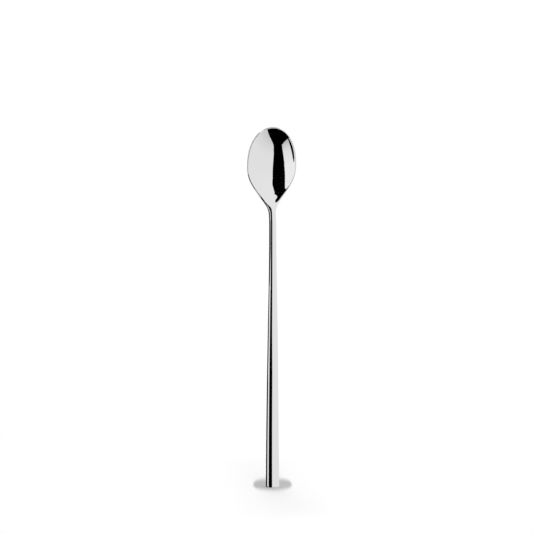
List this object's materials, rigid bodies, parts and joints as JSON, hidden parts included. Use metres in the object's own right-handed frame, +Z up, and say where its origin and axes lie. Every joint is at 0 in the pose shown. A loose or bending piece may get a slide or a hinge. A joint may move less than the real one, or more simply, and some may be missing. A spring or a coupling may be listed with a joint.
{
  "type": "iced tea spoon",
  "caption": "Long slim polished spoon with an egg-shaped bowl and a tapered bar handle, standing upright on the flat end of its handle.",
  "frame": {"origin": "centre of the flat foot at the end of the handle", "axes": "+Z up the handle to the tip of the bowl, -Y out of the hollow of the bowl, +X to the right seen from the front"},
  "size_m": [0.027, 0.0113, 0.2002],
  "materials": {
    "bowl_steel": "mirror-polished stainless steel",
    "handle_steel": "mirror-polished stainless steel",
    "braze_alloy": "silver brazing alloy, sealed in the joint"
  },
  "bodies": {
    "root": {"bowl": "bowl_steel", "handle": "handle_steel", "braze_filler": "braze_alloy"}
  },
  "joints": []
}
